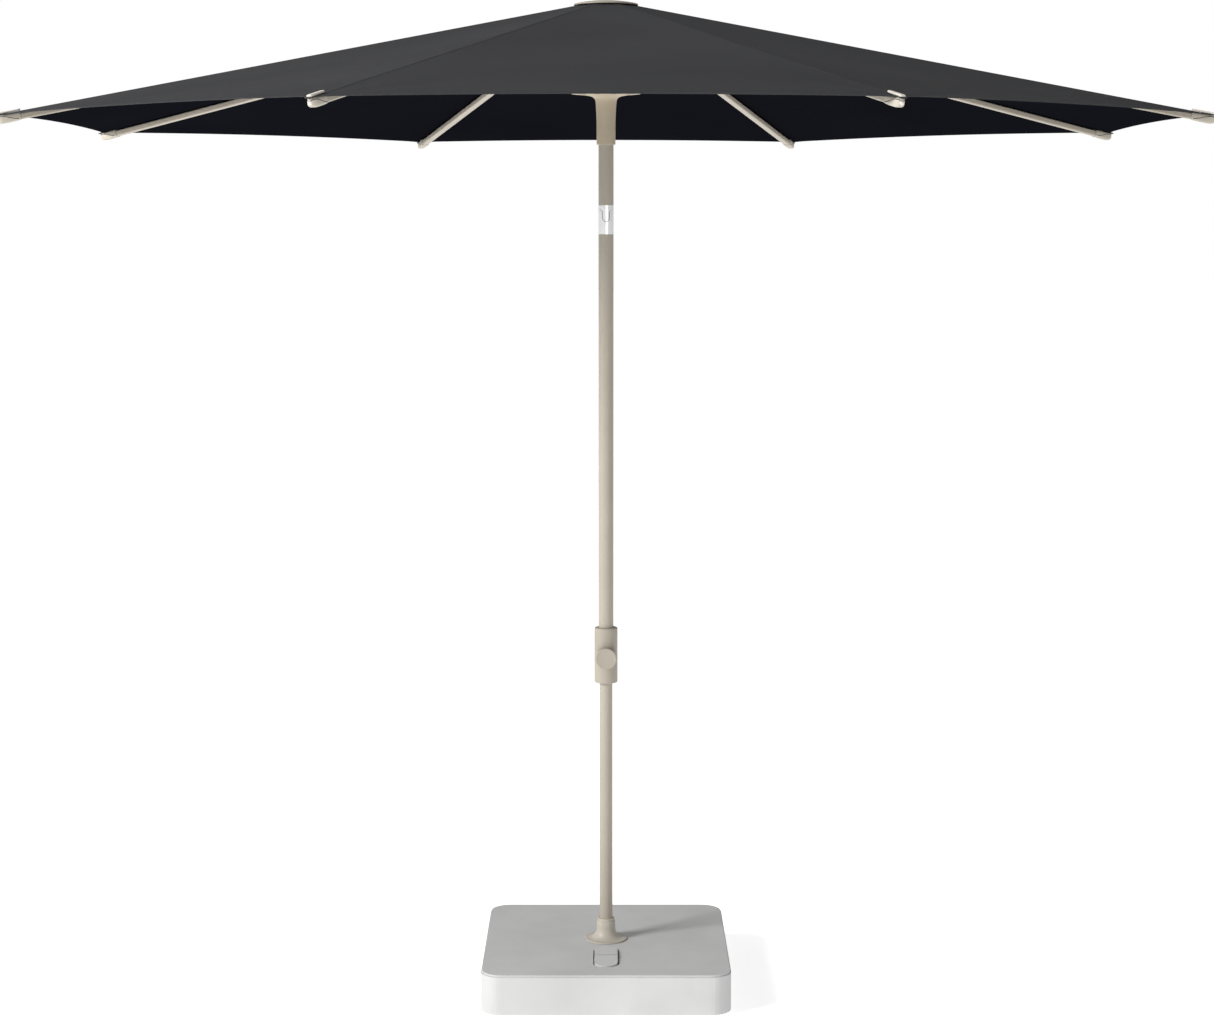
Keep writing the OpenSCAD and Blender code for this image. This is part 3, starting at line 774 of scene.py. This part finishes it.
def make_flange():
    """The trumpet-shaped flange on the slab, with a stepped neck round the mast."""
    low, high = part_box("base_flange")
    rim_r, foot_r, neck_r = (high.x - low.x) / 2, 0.0236, 0.0218
    bore, rim, curve_top = LOWER_MAST_R + 0.0004, 0.0036, low.z + 0.033
    edge = arc((rim_r - rim / 2, low.z + rim / 2), rim / 2, -90, 80, 8)
    flare = []
    for i in range(1, 29):
        a = math.radians(90 * i / 28)
        radius = rim_r - 0.003 - (rim_r - 0.003 - foot_r) * math.sin(a) ** 0.9
        flare.append((radius, low.z + rim + (curve_top - low.z - rim) * (1 - math.cos(a)) ** 1.15))
    step = [(foot_r - 0.0001, high.z - 0.0085), (foot_r - 0.0006, high.z - 0.0078)]
    step += [(neck_r, high.z - 0.0072)]
    top = arc((neck_r - 0.0012, high.z - 0.0012), 0.0012, 0, 90, 4) + [(bore, high.z), (bore, low.z)]
    flange = lathe("base_flange_shell", edge + flare + step + top, segments=128)
    crisp(flange, 50)
    flange.data.materials.append(flange_paint)
    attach(flange, "base")
    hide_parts("base_flange")


def joint_outline():
    """Points (across, above the tilt pin) along the line between the tongue and the fork."""
    side = [(0.0186, SHOULDER_OUT), (0.0150, SHOULDER_OUT - 0.0030), (0.0120, SHOULDER_OUT - 0.0055)]
    side += [(TONGUE_HALF, SHOULDER_IN), (TONGUE_HALF, 0.002)]
    end = arc((0, -TONGUE_END), TONGUE_HALF, 0, -180, 18)
    return side + end + [(-x, z) for x, z in reversed(side)]


def make_joint_line():
    """A thin dark strip round the tongue, on the front of the tilt joint: painted shade for the hairline gap
    between tongue and fork.
    """
    low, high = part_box("tilt_pin")
    pin_z = (low.z + high.z) / 2
    path = joint_outline()
    rings = []
    for i, (x, z) in enumerate(path):
        ahead, behind = path[min(i + 1, len(path) - 1)], path[max(i - 1, 0)]
        along = Vector((ahead[0] - behind[0], ahead[1] - behind[1])).normalized() * JOINT_LINE
        ring = []
        for side, lift in ((1, 0.0001), (-1, 0.0001), (-1, -0.0004), (1, -0.0004)):
            px, pz = x - side * along.y, z + side * along.x
            depth = math.sqrt(max(0.0, MAST_R ** 2 - px ** 2)) + lift
            ring.append(Vector((px, -depth, pin_z + pz)))
        rings.append(ring)
    line = loft("joint_line", rings)
    line.data.materials.append(groove_shade_paint)
    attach(line, "crown")


def make_pedal_line():
    """A thin dark strip across the pedal's ridge: painted shade along the ridge line."""
    low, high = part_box("clamp_pedal")
    middle, half_x, half_y = (low.y + high.y) / 2, (high.x - low.x) / 2 - 0.0006, 0.0005
    rings = []
    for x in (-half_x, half_x):
        corners = ((-half_y, -0.0006), (half_y, -0.0006), (half_y, 0.0002), (-half_y, 0.0002))
        rings.append([Vector((x, middle + y, high.z + z)) for y, z in corners])
    line = loft("pedal_line", rings)
    line.data.materials.append(groove_shade_paint)
    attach(line, "pedal")


# ---------- stage, light and camera ----------

def make_stage():
    """A pale floor that glows a little, so that it meets the white background without an edge."""
    bpy.ops.mesh.primitive_plane_add(size=120)
    floor = bpy.context.object
    floor.name = "floor"
    material, _, shader = new_material("floor_white", (0.92, 0.92, 0.92), 0.95, Specular_IOR_Level=0.0)
    shader.inputs["Emission Color"].default_value = (1, 1, 1, 1)
    shader.inputs["Emission Strength"].default_value = FLOOR_GLOW
    floor.data.materials.append(material)


def add_area_light(name, place, target, size, power):
    """A square soft light that faces the target."""
    data = bpy.data.lights.new(name, "AREA")
    data.size = size
    data.energy = power
    light = bpy.data.objects.new(name, data)
    light.location = place
    light.rotation_euler = (Vector(target) - Vector(place)).to_track_quat("-Z", "Y").to_euler()
    bpy.context.scene.collection.objects.link(light)


def make_sky():
    """A sky that is white to the camera, and that lights the model more from the left than the right."""
    world = bpy.data.worlds.new("studio")
    world.use_nodes = True
    tree = world.node_tree
    light = tree.nodes["Background"]
    coordinate = add_node(tree, "ShaderNodeTexCoord")
    split = add_node(tree, "ShaderNodeSeparateXYZ")
    ramp = add_node(tree, "ShaderNodeValToRGB")
    ramp.color_ramp.elements[0].position = 0.25
    ramp.color_ramp.elements[0].color = (1, 1, 1, 1)
    ramp.color_ramp.elements[1].position = 0.85
    ramp.color_ramp.elements[1].color = (0.62, 0.62, 0.63, 1)
    spread = add_node(tree, "ShaderNodeMapRange")
    spread.inputs["From Min"].default_value = -1.0
    tree.links.new(coordinate.outputs["Generated"], split.inputs["Vector"])
    tree.links.new(split.outputs["X"], spread.inputs["Value"])
    tree.links.new(spread.outputs["Result"], ramp.inputs["Fac"])
    tree.links.new(ramp.outputs["Color"], light.inputs["Color"])
    light.inputs["Strength"].default_value = SKY_LIGHT
    seen = add_node(tree, "ShaderNodeBackground", Strength=1.0)
    seen.inputs["Color"].default_value = (1, 1, 1, 1)
    path = add_node(tree, "ShaderNodeLightPath")
    mix = add_node(tree, "ShaderNodeMixShader")
    tree.links.new(path.outputs["Is Camera Ray"], mix.inputs[0])
    tree.links.new(light.outputs["Background"], mix.inputs[1])
    tree.links.new(seen.outputs["Background"], mix.inputs[2])
    tree.links.new(mix.outputs["Shader"], tree.nodes["World Output"].inputs["Surface"])
    bpy.context.scene.world = world


def make_light():
    """A soft key light from the left and a weak front light."""
    make_sky()
    add_area_light("key", (-6.0, -3.6, 4.4), (0, 0, 1.7), 2.2, KEY_POWER)
    add_area_light("front", (1.5, -8.0, 1.6), (0, 0, 1.6), 3.0, FRONT_POWER)
    bpy.context.scene.view_settings.view_transform = "Standard"


def make_camera():
    """The photograph's viewing angle, a little above eye level and looking slightly down."""
    data = bpy.data.cameras.new("camera")
    data.sensor_width = 36.0
    data.lens = LENS
    data.shift_x = 0.0008
    data.shift_y = -0.13
    data.clip_end = 200
    camera = bpy.data.objects.new("camera", data)
    camera.location = (0, CAMERA_Y, CAMERA_Z)
    camera.rotation_euler = (math.pi / 2 - CAMERA_PITCH, 0, 0)
    bpy.context.scene.collection.objects.link(camera)
    bpy.context.scene.camera = camera


make_camera()
make_stage()
make_light()
finish_cad_nodes()
for rib in ribs:
    make_canopy(rib)
    make_tip(rib)
make_crown_cloth()
make_cap()
make_collar()
make_knob()
make_flange()
make_joint_line()
make_pedal_line()
